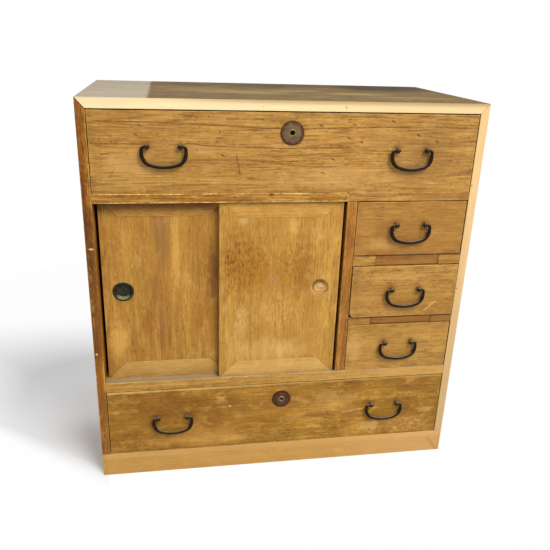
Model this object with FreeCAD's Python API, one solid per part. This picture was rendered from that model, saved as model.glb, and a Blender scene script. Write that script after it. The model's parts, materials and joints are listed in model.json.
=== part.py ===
import FreeCAD, Part
import math
import os
from FreeCAD import Vector

# Small tansu chest: a boarded carcass on a low frame, a full-width drawer above and below,
# two sliding doors on the left and three small drawers on the right.
# Millimetres, X to the right, Y to the back, Z up.
# The origin is under the middle of the whole chest, on the floor.

# Carcass
chest_width = 606.0
carcass_depth = 310.0
board_thickness = 13.5
top_thickness = 15.2
back_thickness = 8.0
back_plank_count = 4
back_plank_gap = 0.4
shelf_housing = 5.0
housing_stop = 14.0
divider_thickness = 15.5
divider_housing = 4.0
divider_recess = 1.2
dust_board_thickness = 9.0
small_rail_depth = 34.0

# Heights, from the floor up
base_height = 42.0
bottom_opening = 120.5
lower_shelf_thickness = 17.0
door_opening_height = 297.5
upper_shelf_thickness = 14.0
top_opening = 119.5

# Column of small drawers, between the divider and the right side
door_opening_width = 381.5
lower_small_opening = 86.2
lower_small_rail = 13.6
middle_small_opening = 91.2
upper_small_rail = 17.0

# Strips let into the small rails
patch_length_share = 0.588
patch_depth = 8.0
patch_recess = 1.4

# Base frame
base_rail_thickness = 15.0
base_end_show = 4.5
floor_thickness = 11.0
floor_bearing = 6.0

# Sliding doors and their tracks
door_thickness = 13.0
door_edge_gap = 4.8
door_overlap = 14.0
door_cap_height = 29.5
track_lip = 4.0
track_land = 1.8
track_play = 0.3
sill_groove_depth = 3.0
head_groove_depth = 7.0
head_rail_depth = 37.0
head_rail_proud = 0.9
head_rail_corner = 3.5
door_head_entry = 4.0

# Round pulls of the doors
pull_inset = 30.5
left_pull_above_middle = 2.6
right_pull_above_middle = 5.4
pull_recess_radius = 14.4
pull_recess_depth = 6.0
pull_recess_mouth = 0.8
cup_wall = 0.8
cup_play = 0.2
cup_flange_radius = 16.5
cup_flange_thickness = 0.9
cup_floor_radius = 10.5

# Drawers
front_thickness = 18.0
drawer_side_thickness = 9.0
drawer_back_thickness = 9.0
drawer_bottom_thickness = 7.0
front_lap = 9.0
drawer_side_gap = 1.1
drawer_side_relief = 0.5
drawer_top_gap = 1.6
drawer_slide_gap = 0.3
drawer_rear_gap = 6.0
drawer_side_drop = 2.0
drawer_back_drop = 6.0
flush_recess = 0.8
small_recess = 1.4
middle_proud = 1.3
square_corner = 0.0
worn_corner_radius = 8.0

# Bail handles and their split pins
post_half_spacing = 23.5
eye_standoff = 6.5
eye_width = 5.4
eye_wall = 1.8
eye_edge_radius = 1.1
pin_play = 0.3
pin_overhang = 1.4
leg_width = 3.2
leg_height = 3.4
leg_play = 0.1
clinch_length = 10.0
clinch_thickness = 1.5
clinch_tip = 0.8
bail_half_width = 31.2
bail_drop = 29.0
bail_curl_radius = 4.6
bail_shoulder_radius = 16.0
bail_belly_radius = 60.0
bail_pin_radius = 2.1
bail_side_radius = 2.7
bail_belly_bar_radius = 3.0

# Places of the handles: in from the ends of the opening, or aside from its middle, and up from its middle
top_handle_inset = 104.5
top_left_handle_rise = 9.3
top_right_handle_rise = 5.4
bottom_handle_inset = 105.3
bottom_handle_rise = 8.1
upper_small_handle_shift = -1.8
upper_small_handle_rise = 6.7
middle_small_handle_shift = 0.2
middle_small_handle_rise = 4.4
lower_small_handle_shift = -1.4
lower_small_handle_rise = 8.5

# Locks
top_lock_drop = 28.9
bottom_lock_drop = 29.9
top_lock_radius = 17.2
bottom_lock_radius = 15.3
lock_plate_thickness = 2.0
lock_plate_edge = 1.1
lock_ring_radius = 10.5
lock_ring_half_width = 1.3
lock_ring_rise = 0.7
key_bore_radius = 3.7
key_tube_wall = 1.1
key_rim_width = 1.1
key_rim_thickness = 0.8
tube_play = 0.05
lock_case_half_width = 23.0
lock_case_below = 15.0
lock_case_depth = 9.0
lock_case_wall = 1.8
bolt_half_width = 14.0
bolt_play = 0.3
bolt_travel = 7.0
bolt_top_gap = 0.4
bolt_fork_half_width = 8.0
bolt_fork_rise = 8.0
strike_play = 1.2
strike_end_play = 1.5

# Overrun of every through cut
overrun = 5.0

# Places that follow from the sizes above
half_width = chest_width / 2
half_inside = half_width - board_thickness
handle_reach = middle_proud + eye_standoff + bail_pin_radius + pin_play + eye_wall
front_y = (handle_reach - carcass_depth) / 2
back_y = front_y + carcass_depth
back_inner_y = back_y - back_thickness
bottom_opening_top = base_height + bottom_opening
lower_shelf_top = bottom_opening_top + lower_shelf_thickness
door_opening_top = lower_shelf_top + door_opening_height
upper_shelf_top = door_opening_top + upper_shelf_thickness
top_underside = upper_shelf_top + top_opening
chest_height = top_underside + top_thickness
divider_left = -half_inside + door_opening_width
divider_right = divider_left + divider_thickness
lower_rail_bottom = lower_shelf_top + lower_small_opening
lower_rail_top = lower_rail_bottom + lower_small_rail
upper_rail_bottom = lower_rail_top + middle_small_opening
upper_rail_top = upper_rail_bottom + upper_small_rail
small_middle_x = (divider_right + half_inside) / 2
patch_length = (half_inside - divider_right) * patch_length_share
top_handle_x = half_inside - top_handle_inset
bottom_handle_x = half_inside - bottom_handle_inset

# Tracks and doors
groove_width = door_thickness + track_play * 2
front_groove_y = front_y + track_lip
rear_groove_y = front_groove_y + groove_width + track_land
door_width = (door_opening_width - door_edge_gap * 2 + door_overlap) / 2
door_travel = door_opening_width - door_edge_gap * 2 - door_width
door_bottom = lower_shelf_top - sill_groove_depth + track_play
door_top = door_opening_top + door_head_entry
left_door_x = -half_inside + door_edge_gap
right_door_x = divider_left - door_edge_gap - door_width
door_middle_z = (lower_shelf_top + door_opening_top) / 2
left_pull_x = left_door_x + pull_inset
left_pull_z = door_middle_z + left_pull_above_middle
right_pull_x = right_door_x + door_width - pull_inset
right_pull_z = door_middle_z + right_pull_above_middle

# Handles and locks
eye_hole_radius = bail_pin_radius + pin_play
eye_radius = eye_hole_radius + eye_wall
key_tube_radius = key_bore_radius + key_tube_wall
bolt_thickness = lock_case_depth - (lock_case_wall + bolt_play) * 2


def block(x_range, y_range, z_range):
    corner = Vector(x_range[0], y_range[0], z_range[0])
    size = (x_range[1] - x_range[0], y_range[1] - y_range[0], z_range[1] - z_range[0])
    return Part.makeBox(size[0], size[1], size[2], corner)


def prism(points, direction):
    outline = Part.makePolygon(points + [points[0]])
    return Part.Face(outline).extrude(direction)


def turned(profile, centre):
    # A profile of (radius, distance behind the centre) pairs, spun about the Y axis
    points = [Vector(centre.x + radius, centre.y + along, centre.z) for radius, along in profile]
    outline = Part.makePolygon(points + [points[0]])
    return Part.Face(outline).revolve(centre, Vector(0, 1, 0), 360)


def group(solids):
    return Part.makeCompound(solids)


# Base frame and floor

def make_floor_board():
    reach = half_inside + floor_bearing
    front = front_y + base_rail_thickness - floor_bearing
    back = back_y - base_rail_thickness + floor_bearing
    return block((-reach, reach), (front, back), (base_height - floor_thickness, base_height))


def make_base_front_rail(floor):
    reach = half_width - base_end_show
    rail = block((-reach, reach), (front_y, front_y + base_rail_thickness), (0, base_height))
    return rail.cut(floor)


def make_base_side_rails(floor, front_rail):
    rails = []
    for inner, outer in ((-half_width, -half_inside), (half_inside, half_width)):
        rail = block((inner, outer), (front_y, back_y), (0, base_height))
        rails.append(rail.cut(floor).cut(front_rail))
    return group(rails)


def make_base_back_rail(floor):
    span = (-half_inside, half_inside)
    return block(span, (back_y - base_rail_thickness, back_y), (0, base_height)).cut(floor)


# Shelves and divider

def housed_board(x_range, z_range, left_housing, right_housing):
    # A board whose ends run into stopped housings, cut short behind the front edge
    left, right = x_range
    tongue_y = (front_y + housing_stop, back_inner_y)
    body = block(x_range, (front_y, back_inner_y), z_range)
    tongue = block((left - left_housing, right + right_housing), tongue_y, z_range)
    return body.fuse(tongue).removeSplitter()


def strike_mortise(drawer, z_bottom):
    # The hollow that the drawer's bolt rises into
    reach = bolt_half_width + strike_play
    y_range = (drawer.bolt_y[0] - strike_play, drawer.bolt_y[1] + strike_play)
    depth = bolt_travel + strike_end_play
    return block((-reach, reach), y_range, (z_bottom - overrun, z_bottom + depth))


def track_grooves(z_range):
    grooves = []
    for start in (front_groove_y, rear_groove_y):
        grooves.append(block((-half_inside, divider_left), (start, start + groove_width), z_range))
    return grooves


def make_lower_shelf(divider, bottom_drawer):
    shelf = housed_board((-half_inside, half_inside), (bottom_opening_top, lower_shelf_top),
                         shelf_housing, shelf_housing)
    for groove in track_grooves((lower_shelf_top - sill_groove_depth, lower_shelf_top + overrun)):
        shelf = shelf.cut(groove)
    return shelf.cut(divider).cut(strike_mortise(bottom_drawer, bottom_opening_top))


def make_upper_shelf(divider):
    shelf = housed_board((-half_inside, half_inside), (door_opening_top, upper_shelf_top),
                         shelf_housing, shelf_housing)
    front_stretch = block((-half_width, divider_left), (front_y - overrun, front_y + head_rail_depth),
                          (door_opening_top - overrun, upper_shelf_top + overrun))
    return shelf.cut(front_stretch).cut(divider)


def make_door_head_rail():
    z_range = (door_opening_top, upper_shelf_top)
    end_y = front_y + head_rail_depth
    rail = block((-half_inside, divider_left), (front_y - head_rail_proud, end_y), z_range)
    worn = [edge for edge in rail.Edges if edge.BoundBox.XMin > divider_left - overrun
            and edge.BoundBox.ZMin > upper_shelf_top - overrun and edge.BoundBox.YLength > overrun]
    rail = rail.makeFillet(head_rail_corner, worn)
    tongue = block((-half_inside - shelf_housing, -half_inside), (front_y + housing_stop, end_y), z_range)
    rail = rail.fuse(tongue).removeSplitter()
    for groove in track_grooves((door_opening_top - overrun, door_opening_top + head_groove_depth)):
        rail = rail.cut(groove)
    return rail


def make_centre_divider():
    body = block((divider_left, divider_right), (front_y + divider_recess, back_inner_y),
                 (lower_shelf_top, door_opening_top))
    tongue = block((divider_left, divider_right), (front_y + head_rail_depth + housing_stop, back_inner_y),
                   (lower_shelf_top - divider_housing, door_opening_top + divider_housing))
    return body.fuse(tongue).removeSplitter()


def patch_notch(z_range, recess):
    reach = patch_length / 2
    return block((small_middle_x - reach, small_middle_x + reach),
                 (front_y + recess, front_y + patch_depth), z_range)


def make_small_shelf(z_range):
    # A stout front rail with a thin dust board behind it, level on top
    dust_z = (z_range[1] - dust_board_thickness, z_range[1])
    rail = block((divider_right, half_inside), (front_y, front_y + small_rail_depth), z_range)
    dust_board = block((divider_right - divider_housing, half_inside + shelf_housing),
                       (front_y + housing_stop, back_inner_y), dust_z)
    return rail.fuse(dust_board).removeSplitter().cut(patch_notch(z_range, 0))


def make_rail_patches():
    levels = ((upper_rail_bottom, upper_rail_top), (lower_rail_bottom, lower_rail_top))
    return group([patch_notch(level, patch_recess) for level in levels])


# Outer boards

def make_top_panel(top_drawer):
    outline = [Vector(-half_inside, front_y, top_underside), Vector(half_inside, front_y, top_underside),
               Vector(half_width, front_y, chest_height), Vector(-half_width, front_y, chest_height)]
    return prism(outline, Vector(0, carcass_depth, 0)).cut(strike_mortise(top_drawer, top_underside))


def make_side_panel(hand, housed):
    outer_x = hand * half_width
    inner_x = hand * half_inside
    outline = [Vector(outer_x, front_y, base_height), Vector(inner_x, front_y, base_height),
               Vector(inner_x, front_y, top_underside), Vector(outer_x, front_y, chest_height)]
    panel = prism(outline, Vector(0, carcass_depth, 0))
    for shelf in housed:
        panel = panel.cut(shelf)
    return panel


def make_back_boards():
    plank_width = (half_inside * 2 - back_plank_gap * (back_plank_count - 1)) / back_plank_count
    planks = []
    for index in range(back_plank_count):
        left = -half_inside + (plank_width + back_plank_gap) * index
        x_range = (left, left + plank_width)
        planks.append(block(x_range, (back_inner_y, back_y), (base_height, top_underside)))
    return group(planks)


# Sliding doors

def make_door(left, pull):
    face_y = pull.y
    right = left + door_width
    inner_left = left + door_cap_height
    inner_right = right - door_cap_height
    panel_bottom = door_bottom + door_cap_height
    panel_top = door_top - door_cap_height
    through = Vector(0, door_thickness, 0)

    def at(x, z):
        return Vector(x, face_y, z)

    panel = prism([at(left, door_bottom), at(inner_left, panel_bottom), at(inner_right, panel_bottom),
                   at(right, door_bottom), at(right, door_top), at(inner_right, panel_top),
                   at(inner_left, panel_top), at(left, door_top)], through)
    bottom_cap = prism([at(left, door_bottom), at(right, door_bottom), at(inner_right, panel_bottom),
                        at(inner_left, panel_bottom)], through)
    top_cap = prism([at(left, door_top), at(right, door_top), at(inner_right, panel_top),
                     at(inner_left, panel_top)], through)
    mouth = pull_recess_radius + pull_recess_mouth
    recess = turned([(0, -overrun), (mouth, -overrun), (mouth, 0), (pull_recess_radius, pull_recess_mouth),
                     (pull_recess_radius, pull_recess_depth), (0, pull_recess_depth)], pull)
    return panel.cut(recess), group([bottom_cap, top_cap])


def make_door_cup(pull):
    outer = pull_recess_radius - cup_play
    inner = outer - cup_wall
    floor = pull_recess_depth - cup_play
    dish = floor - cup_wall
    profile = [(0, dish), (cup_floor_radius, dish), (inner, 0), (inner, -cup_flange_thickness),
               (cup_flange_radius - cup_wall, -cup_flange_thickness), (cup_flange_radius, 0), (outer, 0),
               (outer, cup_wall), (cup_floor_radius, floor), (0, floor)]
    return turned(profile, pull)


# Handles

def make_post(x, face_y, z):
    # A split pin: a rounded eye outside, a leg through the front, and two clinched ends inside
    eye_left = x - eye_width / 2
    leg_left = x - leg_width / 2
    eye_y = face_y - eye_standoff
    inside_y = face_y + front_thickness
    clinch_y = inside_y + clinch_thickness
    leg_z = (z - leg_height / 2, z + leg_height / 2)
    eye = Part.makeCylinder(eye_radius, eye_width, Vector(eye_left, eye_y, z), Vector(1, 0, 0))
    rims = [edge for edge in eye.Edges if isinstance(edge.Curve, Part.Circle)]
    eye = eye.makeFillet(eye_edge_radius, rims)
    hole = Part.makeCylinder(eye_hole_radius, eye_width + overrun * 2,
                             Vector(eye_left - overrun, eye_y, z), Vector(1, 0, 0))
    leg = block((leg_left, leg_left + leg_width), (eye_y, clinch_y), leg_z)

    def at(y, height):
        return Vector(leg_left, y, height)

    clinch = prism([at(inside_y, z + clinch_length), at(inside_y, z - clinch_length),
                    at(inside_y + clinch_tip, z - clinch_length), at(clinch_y, leg_z[0]),
                    at(clinch_y, leg_z[1]), at(inside_y + clinch_tip, z + clinch_length)],
                   Vector(leg_width, 0, 0))
    return eye.fuse(leg).fuse(clinch).removeSplitter().cut(hole)


def leg_hole(x, face_y, z):
    across = leg_width / 2 + leg_play
    upright = leg_height / 2 + leg_play
    return block((x - across, x + across), (face_y - overrun, face_y + front_thickness + overrun),
                 (z - upright, z + upright))


def make_bail(x, face_y, z):
    # One forged bar: the ends turn in through the eyes, the belly is the thickest stretch
    eye_y = face_y - eye_standoff
    tip = post_half_spacing - eye_width / 2 - pin_overhang
    turn = bail_half_width - bail_curl_radius
    shoulder = bail_half_width - bail_shoulder_radius
    belly_z = bail_belly_radius - bail_drop
    centres_apart = bail_belly_radius - bail_shoulder_radius
    shoulder_z = belly_z - math.sqrt(centres_apart ** 2 - shoulder ** 2)

    def at(across, up):
        return Vector(x + across, eye_y, z + up)

    def mirrored(point):
        return Vector(x * 2 - point.x, point.y, point.z)

    belly_centre = at(0, belly_z)
    shoulder_centre = at(-shoulder, shoulder_z)
    meeting = belly_centre + (shoulder_centre - belly_centre).normalize() * bail_belly_radius
    half_turn = bail_curl_radius * math.sqrt(1 / 2)
    curl_middle = at(-turn - half_turn, half_turn - bail_curl_radius)
    bisector = Vector(-1, 0, 0) + (meeting - shoulder_centre).normalize()
    shoulder_middle = shoulder_centre + bisector.normalize() * bail_shoulder_radius
    side_top = at(-bail_half_width, -bail_curl_radius)
    side_low = at(-bail_half_width, shoulder_z)
    path = [Part.LineSegment(at(-tip, 0), at(-turn, 0)), Part.Arc(at(-turn, 0), curl_middle, side_top),
            Part.LineSegment(side_top, side_low), Part.Arc(side_low, shoulder_middle, meeting),
            Part.Arc(meeting, at(0, -bail_drop), mirrored(meeting)),
            Part.Arc(mirrored(meeting), mirrored(shoulder_middle), mirrored(side_low)),
            Part.LineSegment(mirrored(side_low), mirrored(side_top)),
            Part.Arc(mirrored(side_top), mirrored(curl_middle), at(turn, 0)),
            Part.LineSegment(at(turn, 0), at(tip, 0))]
    sweep = Part.BRepOffsetAPI.MakePipeShell(Part.Wire([piece.toShape() for piece in path]))
    inward = Vector(-1, 0, 0)
    stations = [(at(-tip, 0), inward, bail_pin_radius), (at(-turn, 0), inward, bail_pin_radius),
                (side_low, Vector(0, 0, -1), bail_side_radius),
                (at(0, -bail_drop), Vector(1, 0, 0), bail_belly_bar_radius),
                (mirrored(side_low), Vector(0, 0, 1), bail_side_radius),
                (at(turn, 0), inward, bail_pin_radius), (at(tip, 0), inward, bail_pin_radius)]
    for point, along, radius in stations:
        sweep.add(Part.Wire([Part.Circle(point, along, radius).toShape()]))
    sweep.build()
    sweep.makeSolid()
    return sweep.shape()


# Locks

def make_lock_plate(centre, radius, ringed):
    bore = key_tube_radius + tube_play
    face = -lock_plate_thickness
    ring = (lock_ring_radius - lock_ring_half_width, lock_ring_radius + lock_ring_half_width)
    profile = [(bore, 0), (radius, 0), (radius, -lock_plate_edge)]
    if ringed:
        crest = face - lock_ring_rise
        profile += [(ring[1], face), (lock_ring_radius, crest), (ring[0], face)]
    profile += [(key_tube_radius + key_rim_width, face), (bore, face)]
    return turned(profile, centre)


def make_key_tube(centre):
    rim = key_tube_radius + key_rim_width
    end = front_thickness - lock_case_depth + lock_case_wall
    outside = -lock_plate_thickness - key_rim_thickness
    profile = [(key_bore_radius, outside), (key_tube_radius, outside), (rim, -lock_plate_thickness),
               (key_tube_radius, -lock_plate_thickness), (key_tube_radius, end), (key_bore_radius, end)]
    return turned(profile, centre)


def key_hole(centre, radius):
    start = Vector(centre.x, centre.y - overrun, centre.z)
    depth = front_thickness - lock_case_wall - bolt_play
    return Part.makeCylinder(radius, depth + overrun, start, Vector(0, 1, 0))


def lock_case_box(drawer):
    floor_z = drawer.lock_z - lock_case_below
    return block((-lock_case_half_width, lock_case_half_width),
                 (drawer.inside_y - lock_case_depth, drawer.inside_y), (floor_z, drawer.top))


def make_lock_case(drawer, centre):
    reach = bolt_half_width + bolt_play
    floor_z = drawer.lock_z - lock_case_below + lock_case_wall
    channel = block((-reach, reach), (drawer.bolt_y[0] - bolt_play, drawer.bolt_y[1] + bolt_play),
                    (floor_z, drawer.top + overrun))
    return lock_case_box(drawer).cut(channel).cut(key_hole(centre, key_tube_radius + tube_play))


def make_lock_bolt(drawer):
    floor_z = drawer.lock_z - lock_case_below + lock_case_wall + bolt_play
    bolt = block((-bolt_half_width, bolt_half_width), drawer.bolt_y, (floor_z, drawer.top - bolt_top_gap))
    fork = block((-bolt_fork_half_width, bolt_fork_half_width),
                 (drawer.bolt_y[0] - overrun, drawer.bolt_y[1] + overrun),
                 (floor_z - overrun, drawer.lock_z + bolt_fork_rise))
    return bolt.cut(fork)


# Drawers

class Drawer:
    """One drawer in its opening, with the places that its fittings share."""

    def __init__(self, name, opening_x, opening_z, recess, handles, lock, corner):
        # Each handle is its place across and its rise over the middle of the opening,
        # and the lock is its plate's radius and its drop below the top of the front
        self.name = name
        self.left = opening_x[0] + drawer_side_gap
        self.right = opening_x[1] - drawer_side_gap
        self.bottom = opening_z[0] + drawer_slide_gap
        self.top = opening_z[1] - drawer_top_gap
        self.face_y = front_y + recess
        self.inside_y = self.face_y + front_thickness
        self.rear_y = back_inner_y - drawer_rear_gap
        self.lap_y = self.inside_y - front_lap
        self.floor_z = self.bottom + drawer_bottom_thickness
        self.side_top = self.top - drawer_side_drop
        middle_z = (opening_z[0] + opening_z[1]) / 2
        self.handles = [(x, middle_z + rise) for x, rise in handles]
        self.lock_radius, lock_drop = lock
        self.lock_z = self.top - lock_drop
        self.corner = corner
        bolt_front = self.inside_y - lock_case_depth + lock_case_wall + bolt_play
        self.bolt_y = (bolt_front, bolt_front + bolt_thickness)
        self.outer_x = (self.left + drawer_side_relief, self.right - drawer_side_relief)
        self.inner_x = (self.outer_x[0] + drawer_side_thickness, self.outer_x[1] - drawer_side_thickness)

    def posts(self):
        return [(x + hand * post_half_spacing, z) for x, z in self.handles for hand in (-1, 1)]

    def make_front(self):
        front = block((self.left, self.right), (self.face_y, self.inside_y), (self.bottom, self.top))
        if self.corner > 0:
            worn = [edge for edge in front.Edges if edge.BoundBox.XMax < self.left + overrun
                    and edge.BoundBox.ZMax < self.bottom + overrun and edge.BoundBox.YLength > overrun]
            front = front.makeFillet(self.corner, worn)
        lap = (self.lap_y, self.inside_y + overrun)
        past = (self.left - overrun, self.right + overrun)
        side_z = (self.floor_z, self.side_top)
        cuts = [block(past, lap, (self.bottom - overrun, self.floor_z)),
                block((past[0], self.inner_x[0]), lap, side_z),
                block((self.inner_x[1], past[1]), lap, side_z)]
        cuts += [leg_hole(x, self.face_y, z) for x, z in self.posts()]
        if self.lock_radius > 0:
            cuts += [lock_case_box(self), key_hole(self.lock_centre(), key_tube_radius + tube_play)]
        for cut in cuts:
            front = front.cut(cut)
        return front

    def make_sides(self):
        side_y = (self.lap_y, self.rear_y)
        side_z = (self.floor_z, self.side_top)
        return group([block((self.outer_x[0], self.inner_x[0]), side_y, side_z),
                      block((self.inner_x[1], self.outer_x[1]), side_y, side_z)])

    def make_back(self):
        return block(self.inner_x, (self.rear_y - drawer_back_thickness, self.rear_y),
                     (self.floor_z, self.side_top - drawer_back_drop))

    def make_bottom(self):
        return block(self.outer_x, (self.lap_y, self.rear_y), (self.bottom, self.floor_z))

    def lock_centre(self):
        return Vector(0, self.face_y, self.lock_z)

    def nodes(self):
        posts = [make_post(x, self.face_y, z) for x, z in self.posts()]
        made = {"front": self.make_front(), "sides": self.make_sides(), "back": self.make_back(),
                "bottom": self.make_bottom(), "handle_posts": group(posts)}
        names = ("left_bail", "right_bail") if len(self.handles) > 1 else ("bail",)
        for name, (x, z) in zip(names, self.handles):
            made[name] = make_bail(x, self.face_y, z)
        if self.lock_radius > 0:
            centre = self.lock_centre()
            made["lock_plate"] = make_lock_plate(centre, self.lock_radius, self.name == "bottom_drawer")
            made["key_tube"] = make_key_tube(centre)
            made["lock_case"] = make_lock_case(self, centre)
            made["lock_bolt"] = make_lock_bolt(self)
        return {self.name + "_" + piece: shape for piece, shape in made.items()}


no_lock = (0, 0)
full_span = (-half_inside, half_inside)
small_span = (divider_right, half_inside)
top_drawer = Drawer("top_drawer", full_span, (upper_shelf_top, top_underside), flush_recess,
                    ((-top_handle_x, top_left_handle_rise), (top_handle_x, top_right_handle_rise)),
                    (top_lock_radius, top_lock_drop), square_corner)
bottom_drawer = Drawer("bottom_drawer", full_span, (base_height, bottom_opening_top), flush_recess,
                       ((-bottom_handle_x, bottom_handle_rise), (bottom_handle_x, bottom_handle_rise)),
                       (bottom_lock_radius, bottom_lock_drop), square_corner)
upper_small_drawer = Drawer("upper_small_drawer", small_span, (upper_rail_top, door_opening_top),
                            small_recess,
                            ((small_middle_x + upper_small_handle_shift, upper_small_handle_rise),),
                            no_lock, square_corner)
middle_small_drawer = Drawer("middle_small_drawer", small_span, (lower_rail_top, upper_rail_bottom),
                             -middle_proud,
                             ((small_middle_x + middle_small_handle_shift, middle_small_handle_rise),),
                             no_lock, worn_corner_radius)
lower_small_drawer = Drawer("lower_small_drawer", small_span, (lower_shelf_top, lower_rail_bottom),
                            flush_recess,
                            ((small_middle_x + lower_small_handle_shift, lower_small_handle_rise),),
                            no_lock, square_corner)
drawers = (top_drawer, bottom_drawer, upper_small_drawer, middle_small_drawer, lower_small_drawer)


def make_nodes():
    floor = make_floor_board()
    base_front = make_base_front_rail(floor)
    divider = make_centre_divider()
    head_rail = make_door_head_rail()
    upper_shelf = make_upper_shelf(divider)
    lower_shelf = make_lower_shelf(divider, bottom_drawer)
    upper_small = make_small_shelf((upper_rail_bottom, upper_rail_top))
    lower_small = make_small_shelf((lower_rail_bottom, lower_rail_top))
    left_pull = Vector(left_pull_x, rear_groove_y + track_play, left_pull_z)
    right_pull = Vector(right_pull_x, front_groove_y + track_play, right_pull_z)
    left_panel, left_caps = make_door(left_door_x, left_pull)
    right_panel, right_caps = make_door(right_door_x, right_pull)
    nodes = {
        "top_panel": make_top_panel(top_drawer),
        "left_side_panel": make_side_panel(-1, (head_rail, upper_shelf, lower_shelf)),
        "right_side_panel": make_side_panel(1, (upper_shelf, lower_shelf, upper_small, lower_small)),
        "floor_board": floor,
        "back_boards": make_back_boards(),
        "base_front_rail": base_front,
        "base_side_rails": make_base_side_rails(floor, base_front),
        "base_back_rail": make_base_back_rail(floor),
        "upper_shelf": upper_shelf,
        "door_head_rail": head_rail,
        "lower_shelf": lower_shelf,
        "centre_divider": divider.cut(upper_small).cut(lower_small),
        "upper_small_shelf": upper_small,
        "lower_small_shelf": lower_small,
        "rail_patches": make_rail_patches(),
        "left_door_panel": left_panel,
        "left_door_end_caps": left_caps,
        "left_door_cup": make_door_cup(left_pull),
        "right_door_panel": right_panel,
        "right_door_end_caps": right_caps,
    }
    for drawer in drawers:
        nodes.update(drawer.nodes())
    return nodes


if __name__ == "__main__":
    os.makedirs("parts", exist_ok=True)
    for node, shape in make_nodes().items():
        shape.exportStep("parts/" + node + ".step")
        print(node, len(shape.Solids), shape.isValid(), round(shape.Volume))
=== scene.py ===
# %% [markdown]
# # A small tansu chest
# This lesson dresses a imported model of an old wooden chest: drawers across the top and the bottom,
# two sliding doors on the left, three small drawers on the right, and iron bail handles.
# The joiner's shapes are already right, so the work here is what age has done to them:
# softened arrises, grain that stands out, stains, worm holes, scratches and rusty iron.

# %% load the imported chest
import json
import math

import bmesh
import bpy
from mathutils import Matrix, Vector


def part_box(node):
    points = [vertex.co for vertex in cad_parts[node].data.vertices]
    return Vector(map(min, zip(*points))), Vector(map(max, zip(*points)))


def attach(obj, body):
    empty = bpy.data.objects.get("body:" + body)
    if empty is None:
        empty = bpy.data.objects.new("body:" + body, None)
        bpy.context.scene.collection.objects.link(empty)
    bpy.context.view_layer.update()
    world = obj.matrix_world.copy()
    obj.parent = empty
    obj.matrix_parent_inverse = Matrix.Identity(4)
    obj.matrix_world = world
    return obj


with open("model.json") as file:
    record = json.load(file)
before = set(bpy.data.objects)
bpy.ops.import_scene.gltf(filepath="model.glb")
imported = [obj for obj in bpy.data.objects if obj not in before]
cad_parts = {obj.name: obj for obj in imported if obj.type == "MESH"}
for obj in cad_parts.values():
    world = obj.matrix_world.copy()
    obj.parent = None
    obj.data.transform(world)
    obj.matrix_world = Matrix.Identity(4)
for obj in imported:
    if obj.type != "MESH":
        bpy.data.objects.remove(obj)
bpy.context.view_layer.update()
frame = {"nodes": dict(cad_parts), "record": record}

nodes = frame["nodes"]
front_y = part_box("top_panel")[0].y

# %% [markdown]
# ## The camera
# The photograph was taken standing a little to the left of the chest and looking down on it.
# A camera can be aimed by eye, but the edges of a box give its place exactly: the upright edges lean
# together and the level ones run to two vanishing points. The place and the three axes below come from
# that construction, so the modelled edges fall on the photographed ones.

# %% camera where the photographer stood
camera_place = Vector((-0.1777, front_y - 0.8971, 0.7118))
camera_right = Vector((0.98619, -0.16231, 0.03276))
camera_up = Vector((0.02851, 0.36136, 0.93198))
camera_back = Vector((-0.16312, -0.91819, 0.36101))

camera_data = bpy.data.cameras.new("viewpoint")
camera_data.sensor_fit = "HORIZONTAL"
camera_data.sensor_width = 36.0
camera_data.lens = 40.56
camera_data.clip_start = 0.05
camera_data.clip_end = 60.0
viewpoint = bpy.data.objects.new("viewpoint", camera_data)
bpy.context.scene.collection.objects.link(viewpoint)
turn = Matrix((camera_right, camera_up, camera_back)).transposed().to_4x4()
viewpoint.matrix_world = Matrix.Translation(camera_place) @ turn
bpy.context.scene.camera = viewpoint
bpy.context.scene.view_settings.view_transform = "Standard"
print("camera", round((camera_place - Vector((0, front_y, 0.31))).length, 3), "m from the middle of the front")

# %% [markdown]
# ## Placing nodes
# A finish is a recipe of many small nodes. Clicking them together is fine for one material, but this chest
# has over two dozen that share their parts, so a bench places nodes and joins them in one line each.
# Anything that is a socket gets linked, anything else is typed into the input.

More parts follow.
